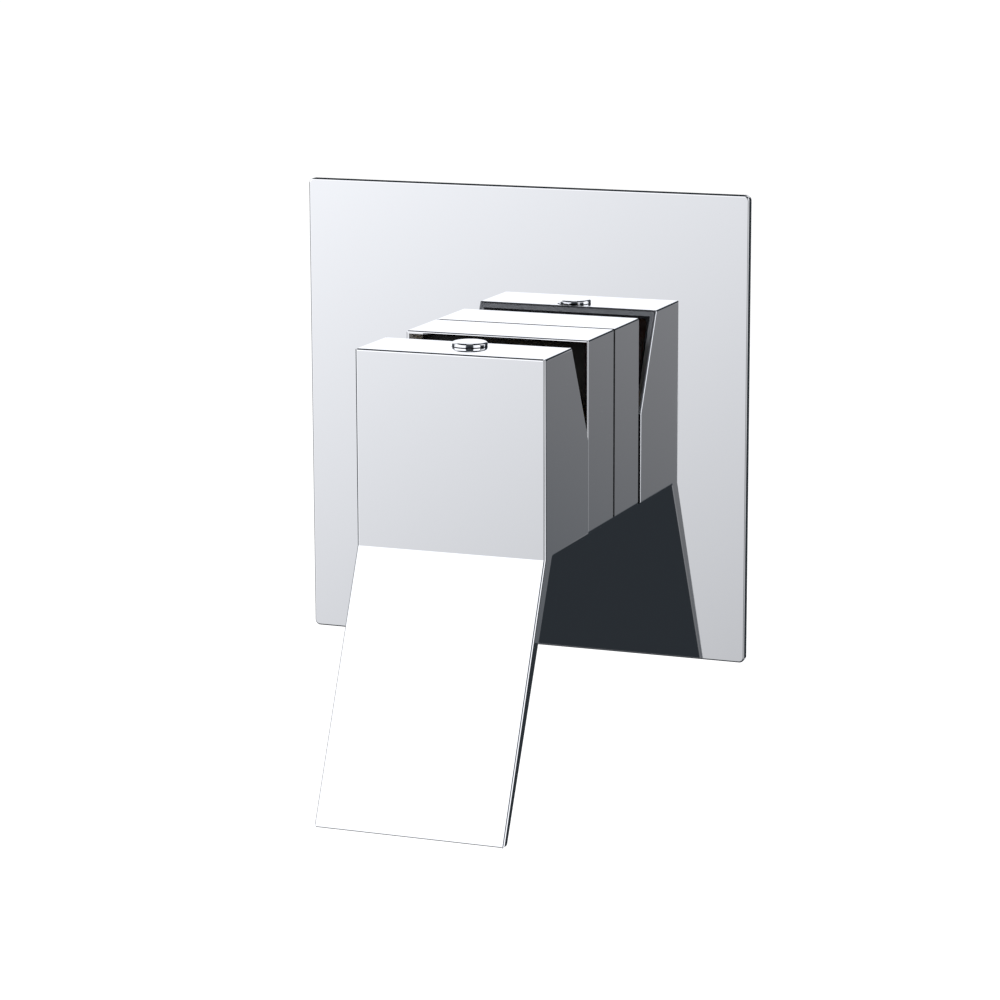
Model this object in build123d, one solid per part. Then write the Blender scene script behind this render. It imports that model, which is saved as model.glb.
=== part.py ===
from build123d import *
import math
import os

# Concealed single-lever shower mixer, in millimetres.
# The finished wall is the plane y = 0 and the person stands on the -Y side. Z is up.
# A piece's "reach" is its distance out from the finished wall, so reach = -y,
# and pieces inside the wall have a negative reach. The cartridge axis is the Y axis.

# How far a cutting shape runs past the face that it cuts
OVERCUT = 1.0

# Wall plate and the foam behind it
PLATE_SIZE = 120.0
PLATE_THICKNESS = 2.0
PLATE_CORNER = 1.4
PLATE_EDGE = 0.4
GASKET_THICKNESS = 0.8
GASKET_INSET = 0.5
GASKET_BAND = 12.0
TAIL_CLEARANCE = 0.2

# Square collar, and the block's overhang round it
COLLAR_LENGTH = 19.1
COLLAR_WALL = 0.8
COLLAR_CORNER = 0.5
COLLAR_EDGE = 0.45
FOOT_SEAL = 0.6
FOOT_SEAL_INSET = 0.35
BLOCK_OVERHANG = 0.4
HANDLE_GAP = 0.4

# Handle block and blade lever
BLOCK_WIDTH = 50.0
BLOCK_HEIGHT = 49.6
BLOCK_DEPTH = 31.5
BLOCK_EDGE = 0.6
SIDE_WALL = 2.0
FRONT_WALL = 2.2
CAVITY_CORNER = 1.5
CAVITY_DRAFT = 0.6
WEDGE_DEPTH = 12.5
WEDGE_START = -0.8
LEVER_DROP = 64.8
LEVER_ANGLE = 23.9
LEVER_ROOT = 4.9
LEVER_TIP = 2.3
BEND_RADIUS = 0.8
BOSS_DIAMETER = 16.0
BOSS_DRAFT = 1.0
RIB_THICKNESS = 2.2
RIB_HEIGHT = 9.0

# Set screw over the stem, and the button that covers it
SCREW_BEHIND_FRONT = 13.6
SCREW_DIAMETER = 5.0
SCREW_LENGTH = 8.0
SCREW_KEY = 2.5
SCREW_KEY_DEPTH = 4.0
SCREW_BEVEL = 0.6
SCREW_BOSS = 11.0
SCREW_CLEARANCE = 0.04
STEM_NOTCH = 0.4
BUTTON_DIAMETER = 9.0
BUTTON_HEIGHT = 1.1
BUTTON_ROUND = 0.35
BUTTON_FOOT = 0.15
BUTTON_STEM = 7.0
BUTTON_GRIP = 3.4
BUTTON_WALL = 1.0
BUTTON_CLEARANCE = 0.05

# Lever motion: the pivot pin's place, the ball below it and the two ranges
PIVOT_SETBACK = 4.6
BALL_OFFSET = 9.0
LIFT_ANGLE = 25.0
TURN_ANGLE = 50.0
DISC_TRAVEL = 3.84

# Stem and its pin
STEM_SQUARE = 8.0
STEM_NECK = 5.0
STEM_BALL = 8.0
STEM_HUB = 3.6
STEM_END_CHAMFER = 0.6
STEM_LENGTH = 28.4
SOCKET_CLEARANCE = 0.08
SOCKET_SPARE = 0.6
SLOT_CLEARANCE = 0.15
PIN_DIAMETER = 3.0
PIN_CLEARANCE = 0.03
PIN_INSET = 0.4

# Rotor, its glide ring and the hot limit ring
ROTOR_DIAMETER = 24.4
ROTOR_CLEARANCE = 0.06
ROTOR_FLANGE = 30.6
ROTOR_FLANGE_THICKNESS = 2.6
SPIGOT_DIAMETER = 19.0
SPIGOT_LENGTH = 2.1
GLIDE_THICKNESS = 0.9
LEG_THICKNESS = 3.0
LEG_WIDTH = 13.0
LEG_GAP = 0.3
SPLINE_COUNT = 20
SPLINE_DEPTH = 0.45
SPLINE_WIDTH = 1.2
SPLINE_CLEARANCE = 0.06
TAB_ANGLE = 24.0
TAB_HEIGHT = 1.7
TAB_CLEARANCE = 0.15

# Disc carrier and the two ceramic discs
CARRIER_DIAMETER = 23.0
CARRIER_THICKNESS = 3.6
CARRIER_HUB = 13.0
CARRIER_HUB_LENGTH = 7.5
CARRIER_WING = 2.6
CARRIER_FLOOR = 0.3
CARRIER_CLEARANCE = 0.12
BALL_CLEARANCE = 0.08
CLOSED_OFFSET = 1.9
MOVING_DISC_THICKNESS = 4.0
FIXED_DISC_DIAMETER = 29.6
FIXED_DISC_THICKNESS = 4.5
POCKET_LENGTH = 15.0
POCKET_WIDTH = 10.0
POCKET_DEPTH = 2.2
POCKET_OFFSET = 0.6
DRIVE_LUG = 4.0
DRIVE_LUG_HEIGHT = 1.0

# Water ways: two curved inlets below and one curved outlet above the axis
INLET_ARC = 7.6
INLET_START_ANGLE = 207.0
INLET_SPAN_ANGLE = 36.0
INLET_ARC_WIDTH = 4.0
OUTLET_ARC = 6.4
OUTLET_START_ANGLE = 50.0
OUTLET_SPAN_ANGLE = 80.0
OUTLET_ARC_WIDTH = 5.0

# Cartridge housing and base
CARTRIDGE_DIAMETER = 35.0
CARTRIDGE_CLEARANCE = 0.1
HOUSING_WALL = 1.6
HOUSING_WEB = 2.0
HOUSING_NECK = 29.0
SHOULDER_BELOW_PIVOT = 7.0
NECK_ABOVE_PIVOT = 4.0
BASE_FLANGE = 3.0
BASE_SPIGOT = 2.0
BASE_CLEARANCE = 0.1
CLIP_COUNT = 4
CLIP_WIDTH = 5.0
CLIP_HEIGHT = 1.4
CLIP_DEPTH = 0.8
CLIP_RISE = 0.4
PEG_DIAMETER = 4.0
PEG_LENGTH = 2.0
PEG_PITCH = 24.0
SEAL_WIDTH = 1.1
SEAL_DEPTH = 1.5

# Retaining nut
NUT_THREAD = 38.0
NUT_CLEARANCE = 0.05
NUT_SKIRT = 5.5
NUT_HEX = 36.0
NUT_HEIGHT = 5.0
NUT_BORE_CLEARANCE = 0.2
HEX_BEVEL_ANGLE = 25.0
HEX_FACE_MARGIN = 0.3

# Collar insert
INSERT_DEPTH = 10.5
INSERT_CLEARANCE = 0.1
INSERT_CORNER = 0.6
INSERT_WEB = 2.2
INSERT_TUBE = 1.6
INSERT_RIM = 1.4
NECK_CLEARANCE = 0.2
TAIL_LENGTH = 2.6
SNAP_BEAD = 0.7
NECK_RING_CORD = 1.5
NECK_RING_PLACE = 5.2
RING_CLEARANCE = 0.02

# Valve body inside the wall
NECK_WALL = 2.0
BODY_DIAMETER = 50.0
BODY_STEP = 4.0
BODY_BELOW_FLOOR = 25.5
BODY_EDGE = 1.5
PIPE_AXIS_BELOW_FLOOR = 12.0
PIPE_THREAD_RADIUS = 9.316
PIPE_THREAD_DEPTH = 15.0
PIPE_SPAN = 38.0
PIPE_WALL_HEX = 27.0
PIPE_HEX_LENGTH = 11.0
PIPE_BOSS = 25.0
PIPE_OUTLET_RISE = 40.0
PASSAGE_RADIUS = 5.6
PASSAGE_WALL = 2.4
PORT_RADIUS = 3.0

# Fixing bracket on the body's back, with its two screws
LUG_SPACING = 60.0
LUG_HOLE_RADIUS = 3.0
LUG_WIDTH = 14.0
LUG_DROP = 29.0
BRACKET_THICKNESS = 2.5
BRACKET_TONGUE = 34.0
BRACKET_RISE = 30.0
BRACKET_FOLD = 6.0
BRACKET_CORNER = 5.0
BRACKET_SCREW = 4.0
BRACKET_SCREW_CLEARANCE = 0.05
BRACKET_SCREW_PITCH = 20.0
BRACKET_SCREW_DROP = 10.0
BRACKET_SCREW_DEPTH = 6.0
BRACKET_HEAD = 7.6
BRACKET_HEAD_HEIGHT = 2.4
BRACKET_HEAD_ROUND = 0.8
BRACKET_SCREW_KEY = 2.5
BRACKET_KEY_DEPTH = 1.6

# Stations worked out from the sizes above, as reaches from the finished wall
PLATE_FACE = GASKET_THICKNESS + PLATE_THICKNESS
COLLAR_REAR = PLATE_FACE + FOOT_SEAL
COLLAR_FRONT = COLLAR_REAR + COLLAR_LENGTH
HANDLE_REAR = COLLAR_FRONT + HANDLE_GAP
HANDLE_FRONT = HANDLE_REAR + BLOCK_DEPTH
CAVITY_FLOOR = HANDLE_FRONT - FRONT_WALL
SCREW_REACH = HANDLE_FRONT - SCREW_BEHIND_FRONT
PIVOT = HANDLE_REAR - PIVOT_SETBACK
BALL = PIVOT - BALL_OFFSET
STEM_END = PIVOT + STEM_LENGTH
SHOULDER = PIVOT - SHOULDER_BELOW_PIVOT
HOUSING_FRONT = PIVOT + NECK_ABOVE_PIVOT
GLIDE_FRONT = SHOULDER - HOUSING_WEB
FLANGE_FRONT = GLIDE_FRONT - GLIDE_THICKNESS
FLANGE_REAR = FLANGE_FRONT - ROTOR_FLANGE_THICKNESS
SPIGOT_FRONT = HOUSING_FRONT - TAB_CLEARANCE
ROTOR_FRONT = SPIGOT_FRONT - SPIGOT_LENGTH
CARRIER_SOCKET = BALL - STEM_BALL / 2 - CARRIER_FLOOR
CARRIER_FRONT = CARRIER_SOCKET - CARRIER_FLOOR
CARRIER_REAR = CARRIER_FRONT - CARRIER_THICKNESS
HUB_FRONT = CARRIER_FRONT + CARRIER_HUB_LENGTH
MOVING_REAR = CARRIER_REAR - MOVING_DISC_THICKNESS
FIXED_REAR = MOVING_REAR - FIXED_DISC_THICKNESS
HOUSING_REAR = FIXED_REAR - BASE_SPIGOT
FLOOR = HOUSING_REAR - BASE_FLANGE
NECK_FRONT = SHOULDER + NUT_SKIRT
INSERT_FRONT = PLATE_FACE + INSERT_DEPTH
BODY_BACK = FLOOR - BODY_BELOW_FLOOR
PIPE_REACH = FLOOR - PIPE_AXIS_BELOW_FLOOR
COLLAR_SIZE = BLOCK_WIDTH - 2 * BLOCK_OVERHANG
COLLAR_BORE = COLLAR_SIZE - 2 * COLLAR_WALL
NECK_DIAMETER = NUT_THREAD + 2 * NECK_WALL
INSERT_BORE = NECK_DIAMETER + 2 * NECK_CLEARANCE
TAIL_DIAMETER = INSERT_BORE + 2 * INSERT_TUBE
BORE_RADIUS = CARTRIDGE_DIAMETER / 2 + CARTRIDGE_CLEARANCE
HOUSING_BORE = CARTRIDGE_DIAMETER - 2 * HOUSING_WALL
BLOCK_TOP = BLOCK_HEIGHT / 2
BOSS_END = SCREW_REACH - SCREW_BOSS / 2
CARRIER_FLAT = CARRIER_HUB / 2 + CARRIER_WING
PORT_SEAL_RADIUS = PORT_RADIUS + SEAL_WIDTH
CLIP_REAR = HOUSING_REAR + CLIP_RISE

SIDE = Plane(origin=(0, 0, 0), x_dir=(0, -1, 0), z_dir=(-1, 0, 0))


def outward(reach):
    """The plane at a reach, looking out of the wall: local x is +X and local y is +Z."""
    return Plane(origin=(0, -reach, 0), x_dir=(1, 0, 0), z_dir=(0, -1, 0))


def inward(reach):
    """The same plane looking into the wall: local x is -X and local y is +Z."""
    return Plane(origin=(0, -reach, 0), x_dir=(-1, 0, 0), z_dir=(0, 1, 0))


def slab(sketch, rear, front):
    """A prism of a sketch between two reaches."""
    return extrude(outward(rear) * sketch, front - rear)


def disc(diameter, rear, front):
    """A round prism on the cartridge axis between two reaches."""
    return slab(Circle(diameter / 2), rear, front)


def tube(outer, inner, rear, front):
    """A plain ring on the cartridge axis between two reaches."""
    return slab(Circle(outer / 2) - Circle(inner / 2), rear, front)


def turned(points, base=outward(0)):
    """A solid turned about a plane's normal from (radius, height) points; on the axis, height is reach."""
    section = Plane(origin=base.origin, x_dir=base.x_dir, z_dir=-base.y_dir)
    profile = make_face(Polyline(*points, close=True))
    return revolve(section * profile, Axis(base.origin, base.z_dir))


def hexagon(base, across, height):
    """A hexagon head standing on a plane, with the corners of its far end turned off."""
    head = extrude(base * RegularPolygon(across / 2, 6, major_radius=False), height)
    rim = across / 2 + HEX_FACE_MARGIN
    outside = across / math.sqrt(3) + OVERCUT
    drop = (outside - rim) * math.tan(math.radians(HEX_BEVEL_ANGLE))
    return head & turned([(0, 0), (outside, 0), (outside, height - drop), (rim, height), (0, height)], base)


def side_prism(points, width):
    """A prism of (reach, height) points, centred on x = 0."""
    profile = make_face(Polyline(*points, close=True))
    return extrude(SIDE * profile, width / 2, both=True)


def arc_port(radius, start, span, width):
    """A curved slot about the axis, used for the water ports."""
    return SlotArc(CenterArc((0, 0), radius, start, span), width)


def inlet_port(side, extra=0.0):
    """One inlet's curved slot: side is -1 for hot on the left and +1 for cold on the right."""
    start = INLET_START_ANGLE if side < 0 else 180 - INLET_START_ANGLE - INLET_SPAN_ANGLE
    return arc_port(INLET_ARC, start, INLET_SPAN_ANGLE, INLET_ARC_WIDTH + 2 * extra)


def outlet_port(extra=0.0):
    """The outlet's curved slot above the axis."""
    return arc_port(OUTLET_ARC, OUTLET_START_ANGLE, OUTLET_SPAN_ANGLE, OUTLET_ARC_WIDTH + 2 * extra)


def water_ports(extra=0.0):
    """All three water ports as a list of sketches."""
    return [inlet_port(-1, extra), inlet_port(1, extra), outlet_port(extra)]


def port_centres():
    """Where each port meets the cartridge base's underside: hot, cold, outlet."""
    middle = math.radians(INLET_START_ANGLE + INLET_SPAN_ANGLE / 2)
    x = INLET_ARC * math.cos(middle)
    z = INLET_ARC * math.sin(middle)
    return [(x, z), (-x, z), (0.0, OUTLET_ARC)]


def wall_plate():
    """Polished square plate with softly rounded front edges and one round opening."""
    plate = slab(RectangleRounded(PLATE_SIZE, PLATE_SIZE, PLATE_CORNER), GASKET_THICKNESS, PLATE_FACE)
    rim = plate.faces().sort_by(Axis.Y)[0].edges()
    plate = fillet(rim, PLATE_EDGE)
    return plate - disc(TAIL_DIAMETER + 2 * TAIL_CLEARANCE, GASKET_THICKNESS, PLATE_FACE)


def plate_gasket():
    """Foam frame behind the plate, set in a little from its edge."""
    size = PLATE_SIZE - 2 * GASKET_INSET
    opening = size - 2 * GASKET_BAND
    frame = RectangleRounded(size, size, PLATE_CORNER) - RectangleRounded(opening, opening, GASKET_BAND / 2)
    return slab(frame, 0, GASKET_THICKNESS)


def collar_seal():
    """Thin square rubber seal between the plate and the collar, set in so that it shows as a dark line."""
    size = COLLAR_SIZE - 2 * FOOT_SEAL_INSET
    ring = RectangleRounded(size, size, COLLAR_CORNER) - Rectangle(COLLAR_BORE, COLLAR_BORE)
    return slab(ring, PLATE_FACE, COLLAR_REAR)


def square_collar():
    """Thin square sleeve that stands on its seal, with its front edge eased."""
    outer = slab(RectangleRounded(COLLAR_SIZE, COLLAR_SIZE, COLLAR_CORNER), COLLAR_REAR, COLLAR_FRONT)
    rim = outer.faces().sort_by(Axis.Y)[0].edges()
    outer = fillet(rim, COLLAR_EDGE)
    return outer - slab(Rectangle(COLLAR_BORE, COLLAR_BORE), COLLAR_REAR, COLLAR_FRONT)


def collar_insert():
    """Moulded carrier that fills the collar, grips the valve neck and snaps into the plate."""
    size = COLLAR_BORE - 2 * INSERT_CLEARANCE
    block = slab(RectangleRounded(size, size, INSERT_CORNER), PLATE_FACE, INSERT_FRONT)
    pocket_size = size - 2 * INSERT_RIM
    pockets = slab(Rectangle(pocket_size, pocket_size), PLATE_FACE, INSERT_FRONT - INSERT_WEB)
    pockets -= disc(TAIL_DIAMETER, PLATE_FACE, INSERT_FRONT)
    ribs = Part()
    for angle in (45, 135):
        rib = Rectangle(2 * size, INSERT_RIM).rotate(Axis.Z, angle)
        ribs += slab(rib, PLATE_FACE, INSERT_FRONT)
    block -= pockets - ribs
    tail_end = -TAIL_LENGTH
    bead = SNAP_BEAD + TAIL_CLEARANCE
    tail_radius = TAIL_DIAMETER / 2
    block += turned([
        (0, PLATE_FACE + INSERT_RIM),
        (tail_radius, PLATE_FACE + INSERT_RIM),
        (tail_radius, GASKET_THICKNESS),
        (tail_radius + bead, GASKET_THICKNESS - bead / 2),
        (tail_radius + bead, GASKET_THICKNESS - bead),
        (tail_radius, tail_end),
        (0, tail_end),
    ])
    block -= disc(INSERT_BORE, tail_end, INSERT_FRONT)
    groove = PLATE_FACE + NECK_RING_PLACE
    groove_bore = NECK_DIAMETER + 2 * NECK_RING_CORD + 2 * RING_CLEARANCE
    half = NECK_RING_CORD / 2 + RING_CLEARANCE
    block -= disc(groove_bore, groove - half, groove + half)
    return block


def o_ring(inner, cord, reach):
    """A rubber ring squeezed in its groove: a round cord with flats where it seats."""
    section = cord / 2 - RING_CLEARANCE
    bevel = cord / 4
    middle = inner / 2 + cord / 2
    low = middle - section
    high = middle + section
    return turned([
        (low, reach - section + bevel),
        (low, reach + section - bevel),
        (low + bevel, reach + section),
        (high - bevel, reach + section),
        (high, reach + section - bevel),
        (high, reach - section + bevel),
        (high - bevel, reach - section),
        (low + bevel, reach - section),
    ])


def neck_o_ring():
    """Rubber ring that grips the valve neck inside the collar insert."""
    return o_ring(NECK_DIAMETER + 2 * RING_CLEARANCE, NECK_RING_CORD, PLATE_FACE + NECK_RING_PLACE)


def handle_outline():
    """The handle's side outline: block, sloping rear face and tapered blade lever."""
    bottom = -BLOCK_TOP
    tip = bottom - LEVER_DROP
    lean = LEVER_DROP * math.tan(math.radians(LEVER_ANGLE))
    return [
        (HANDLE_REAR, bottom),
        (HANDLE_REAR, WEDGE_START),
        (HANDLE_REAR + WEDGE_DEPTH, BLOCK_TOP),
        (HANDLE_FRONT, BLOCK_TOP),
        (HANDLE_FRONT, bottom),
        (HANDLE_FRONT + lean, tip),
        (HANDLE_FRONT + lean - LEVER_TIP, tip),
        (HANDLE_FRONT - LEVER_ROOT, bottom),
    ]


def handle_shell():
    """The handle's outside with its edges eased and its cast cavity cut out."""
    shell = side_prism(handle_outline(), BLOCK_WIDTH)
    bend_place = (0, -(HANDLE_FRONT - LEVER_ROOT), -BLOCK_TOP)
    inner_bend = shell.edges().filter_by(Axis.X).sort_by_distance(bend_place)[0]
    shell = fillet(inner_bend, BEND_RADIUS)
    sides = shell.faces().filter_by(Axis.X)
    shell = fillet(sides.edges(), BLOCK_EDGE)
    cavity_depth = CAVITY_FLOOR - HANDLE_REAR
    shrink = 2 * cavity_depth * math.tan(math.radians(CAVITY_DRAFT))
    width = BLOCK_WIDTH - 2 * SIDE_WALL - shrink
    height = BLOCK_HEIGHT - 2 * SIDE_WALL - shrink
    mouth = inward(CAVITY_FLOOR) * RectangleRounded(width, height, CAVITY_CORNER)
    return shell - extrude(mouth, cavity_depth + HANDLE_GAP, taper=-CAVITY_DRAFT)


def handle_core():
    """The socket boss, the screw boss and the ribs inside the handle."""
    radius = BOSS_DIAMETER / 2
    shrink = (CAVITY_FLOOR - BOSS_END) * math.tan(math.radians(BOSS_DRAFT))
    core = turned([(0, BOSS_END), (radius - shrink, BOSS_END), (radius, CAVITY_FLOOR), (0, CAVITY_FLOOR)])
    lift = Plane(origin=(0, -SCREW_REACH, 0), x_dir=(1, 0, 0), z_dir=(0, 0, 1))
    core += extrude(lift * Circle(SCREW_BOSS / 2), BLOCK_TOP - SIDE_WALL / 2)
    rib_rear = CAVITY_FLOOR - RIB_HEIGHT
    span = BLOCK_WIDTH - SIDE_WALL
    core += slab(Rectangle(span, RIB_THICKNESS), rib_rear, CAVITY_FLOOR)
    drop = BLOCK_TOP - SIDE_WALL / 2
    core += slab(Pos(0, -drop / 2) * Rectangle(RIB_THICKNESS, drop), rib_rear, CAVITY_FLOOR)
    return core


def lever_handle():
    """Hollow square block with its blade lever, stem socket and screw hole."""
    handle = handle_shell() + handle_core()
    socket = STEM_SQUARE + 2 * SOCKET_CLEARANCE
    handle -= slab(Rectangle(socket, socket), BOSS_END - OVERCUT, STEM_END + SOCKET_SPARE)
    top = Plane(origin=(0, -SCREW_REACH, BLOCK_TOP), x_dir=(1, 0, 0), z_dir=(0, 0, 1))
    handle -= extrude(top * Circle(SCREW_DIAMETER / 2 + SCREW_CLEARANCE), -BLOCK_TOP)
    handle -= extrude(top * Circle(BUTTON_STEM / 2 + BUTTON_CLEARANCE), -(BUTTON_GRIP + BUTTON_CLEARANCE))
    return handle


def set_screw():
    """Headless screw with a hexagon socket and a pointed end, pressing on the stem."""
    base = STEM_SQUARE / 2 - STEM_NOTCH
    plane = Plane(origin=(0, -SCREW_REACH, base), x_dir=(1, 0, 0), z_dir=(0, 0, 1))
    screw = extrude(plane * Circle(SCREW_DIAMETER / 2), SCREW_LENGTH)
    tip = screw.edges().filter_by(GeomType.CIRCLE).sort_by(Axis.Z)
    screw = chamfer([tip[0], tip[-1]], SCREW_BEVEL)
    key = plane.offset(SCREW_LENGTH) * RegularPolygon(SCREW_KEY / 2, 6, major_radius=False)
    return screw - extrude(key, -SCREW_KEY_DEPTH)


def screw_cap():
    """Round button over the set screw, with a hollow stem that grips its hole."""
    plane = Plane(origin=(0, -SCREW_REACH, BLOCK_TOP), x_dir=(1, 0, 0), z_dir=(0, 0, 1))
    head = extrude(plane * Circle(BUTTON_DIAMETER / 2), BUTTON_HEIGHT)
    rims = head.edges().filter_by(GeomType.CIRCLE).sort_by(Axis.Z)
    head = fillet(rims[-1], BUTTON_ROUND)
    head = chamfer(head.edges().filter_by(GeomType.CIRCLE).sort_by(Axis.Z)[0], BUTTON_FOOT)
    grip = plane * (Circle(BUTTON_STEM / 2) - Circle(BUTTON_STEM / 2 - BUTTON_WALL))
    return head + extrude(grip, -BUTTON_GRIP)


def stem():
    """Square stem with a ball end; it tilts about the pin through its thick part."""
    hub_rear = PIVOT - STEM_HUB
    square = slab(Rectangle(STEM_SQUARE, STEM_SQUARE), hub_rear, STEM_END)
    front = square.faces().sort_by(Axis.Y)[0].edges()
    square = chamfer(front, STEM_END_CHAMFER)
    bar = square + disc(STEM_NECK, BALL, hub_rear)
    bar += Pos(0, -BALL, 0) * Sphere(STEM_BALL / 2)
    pin_plane = Plane(origin=(0, -PIVOT, 0), x_dir=(0, 1, 0), z_dir=(1, 0, 0))
    bar -= extrude(pin_plane * Circle(PIN_DIAMETER / 2 + PIN_CLEARANCE), STEM_SQUARE, both=True)
    flat = Box(STEM_SQUARE, SCREW_DIAMETER + OVERCUT, 2 * STEM_NOTCH)
    notch = Pos(0, -SCREW_REACH, STEM_SQUARE / 2) * flat
    return bar - notch


def pivot_pin():
    """Steel cross pin of the stem, held in the rotor."""
    plane = Plane(origin=(0, -PIVOT, 0), x_dir=(0, 1, 0), z_dir=(1, 0, 0))
    return extrude(plane * Circle(PIN_DIAMETER / 2), ROTOR_DIAMETER / 2 - PIN_INSET, both=True)


def stem_slot():
    """The room that the stem sweeps inside the rotor as it tilts, as (reach, height) points."""
    half = STEM_SQUARE / 2
    lift = math.radians(LIFT_ANGLE)
    reach_in = PIVOT - STEM_HUB
    ball_front = PIVOT - BALL_OFFSET * math.cos(lift) + STEM_BALL / 2 + SLOT_CLEARANCE
    ball_down = -(BALL_OFFSET * math.sin(lift) + STEM_BALL / 2 + SLOT_CLEARANCE)
    tilted = half / math.cos(lift)
    front = SPIGOT_FRONT + OVERCUT
    up = tilted + (front - PIVOT) * math.tan(lift) + SLOT_CLEARANCE
    down = -(tilted + STEM_HUB * math.tan(lift) + SLOT_CLEARANCE)
    rest = half + SLOT_CLEARANCE
    rear = HUB_FRONT - OVERCUT
    return [
        (rear, ball_down),
        (ball_front, ball_down),
        (reach_in - SLOT_CLEARANCE, down),
        (PIVOT, -tilted - SLOT_CLEARANCE),
        (front, -rest),
        (front, up),
        (PIVOT, tilted + SLOT_CLEARANCE),
        (rear, rest),
    ]


def spigot_outline(extra):
    """The splined outline shared by the rotor's spigot and the limit ring's bore."""
    outline = Circle(SPIGOT_DIAMETER / 2 + extra)
    tooth = Rectangle(SPLINE_DEPTH + OVERCUT, SPLINE_WIDTH + 2 * extra)
    reach = SPIGOT_DIAMETER / 2 + extra + (SPLINE_DEPTH - OVERCUT) / 2
    for place in PolarLocations(reach, SPLINE_COUNT):
        outline += place * tooth
    return outline


def rotor():
    """Guide that turns in the housing neck, carries the pin and drives the disc carrier."""
    body = disc(ROTOR_DIAMETER, FLANGE_REAR, ROTOR_FRONT)
    body += disc(ROTOR_FLANGE, FLANGE_REAR, FLANGE_FRONT)
    body += slab(spigot_outline(0), ROTOR_FRONT, SPIGOT_FRONT)
    leg_place = (CARRIER_FLAT + CARRIER_CLEARANCE) + LEG_THICKNESS / 2
    for side in (-1, 1):
        leg = Pos(side * leg_place, 0) * Rectangle(LEG_THICKNESS, LEG_WIDTH)
        body += slab(leg, CARRIER_REAR + LEG_GAP, FLANGE_REAR)
    body -= side_prism(stem_slot(), STEM_SQUARE + 2 * SLOT_CLEARANCE)
    room = CARRIER_HUB + 2 * SLOT_CLEARANCE
    pocket = Pos(0, -DISC_TRAVEL / 2) * SlotCenterToCenter(DISC_TRAVEL, room, rotation=90)
    body -= slab(pocket, FLANGE_REAR, HUB_FRONT + SLOT_CLEARANCE)
    pin_plane = Plane(origin=(0, -PIVOT, 0), x_dir=(0, 1, 0), z_dir=(1, 0, 0))
    body -= extrude(pin_plane * Circle(PIN_DIAMETER / 2 + PIN_CLEARANCE), ROTOR_DIAMETER, both=True)
    return body


def glide_ring():
    """Low-friction ring between the rotor's flange and the housing."""
    return tube(ROTOR_FLANGE, ROTOR_DIAMETER + 2 * ROTOR_CLEARANCE, FLANGE_FRONT, GLIDE_FRONT)


def limit_tab(angle, extra):
    """A sector at the top of the ring: the tab itself, or with more angle, its window."""
    outer = HOUSING_NECK / 2 + extra
    half = math.radians(angle / 2)
    across = outer * math.tan(half)
    wedge = Polygon((0, 0), (across, outer), (-across, outer), align=None)
    return wedge & Circle(outer)


def hot_limit_ring():
    """Toothed ring on the rotor; its tab stops at the ends of the housing's window."""
    inside = spigot_outline(SPLINE_CLEARANCE)
    ring = Circle(ROTOR_DIAMETER / 2) + limit_tab(TAB_ANGLE, -TAB_CLEARANCE)
    return slab(ring - inside, ROTOR_FRONT, ROTOR_FRONT + TAB_HEIGHT)


def disc_carrier():
    """Driver between the stem's ball and the moving disc, with two flats for the rotor's legs."""
    plate = Circle(CARRIER_DIAMETER / 2) & Rectangle(2 * CARRIER_FLAT, CARRIER_DIAMETER)
    body = slab(Pos(0, CLOSED_OFFSET) * plate, CARRIER_REAR, CARRIER_FRONT)
    body += disc(CARRIER_HUB, CARRIER_FRONT, HUB_FRONT)
    bore = STEM_BALL + 2 * BALL_CLEARANCE
    body -= disc(bore, CARRIER_SOCKET, HUB_FRONT)
    rim = body.faces().sort_by(Axis.Y)[0].inner_wires()[0].edges()
    body = chamfer(rim, CARRIER_FLOOR)
    lugs = Rectangle(2 * CARRIER_FLAT, DRIVE_LUG) - Rectangle(CARRIER_FLAT, DRIVE_LUG)
    return body + slab(Pos(0, CLOSED_OFFSET) * (lugs & plate), CARRIER_REAR - DRIVE_LUG_HEIGHT, CARRIER_REAR)


def moving_disc():
    """Ceramic disc with the blind mixing pocket in its sealing face."""
    outline = Pos(0, CLOSED_OFFSET) * Circle(CARRIER_DIAMETER / 2)
    body = slab(outline, MOVING_REAR, CARRIER_REAR)
    notch = DRIVE_LUG + 2 * CARRIER_CLEARANCE
    inner = CARRIER_FLAT - 2 * CARRIER_CLEARANCE
    keys = Rectangle(2 * CARRIER_DIAMETER, notch) - Rectangle(inner, notch)
    notch_rear = CARRIER_REAR - DRIVE_LUG_HEIGHT - CARRIER_CLEARANCE
    body -= slab(Pos(0, CLOSED_OFFSET) * keys, notch_rear, CARRIER_REAR)
    pocket = Pos(0, CLOSED_OFFSET + POCKET_OFFSET) * SlotOverall(POCKET_LENGTH, POCKET_WIDTH)
    return body - slab(pocket, MOVING_REAR, MOVING_REAR + POCKET_DEPTH)


def fixed_disc():
    """Ceramic disc with the two inlet ports and the outlet port."""
    outline = Circle(FIXED_DISC_DIAMETER / 2)
    for port in water_ports():
        outline -= port
    return slab(outline, FIXED_REAR, MOVING_REAR)


def disc_seals():
    """Three rubber lips between the base and the fixed disc."""
    seals = Part()
    for outer, inner in zip(water_ports(SEAL_WIDTH), water_ports()):
        seals += slab(outer - inner, FIXED_REAR - SEAL_DEPTH, FIXED_REAR)
    return seals


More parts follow.
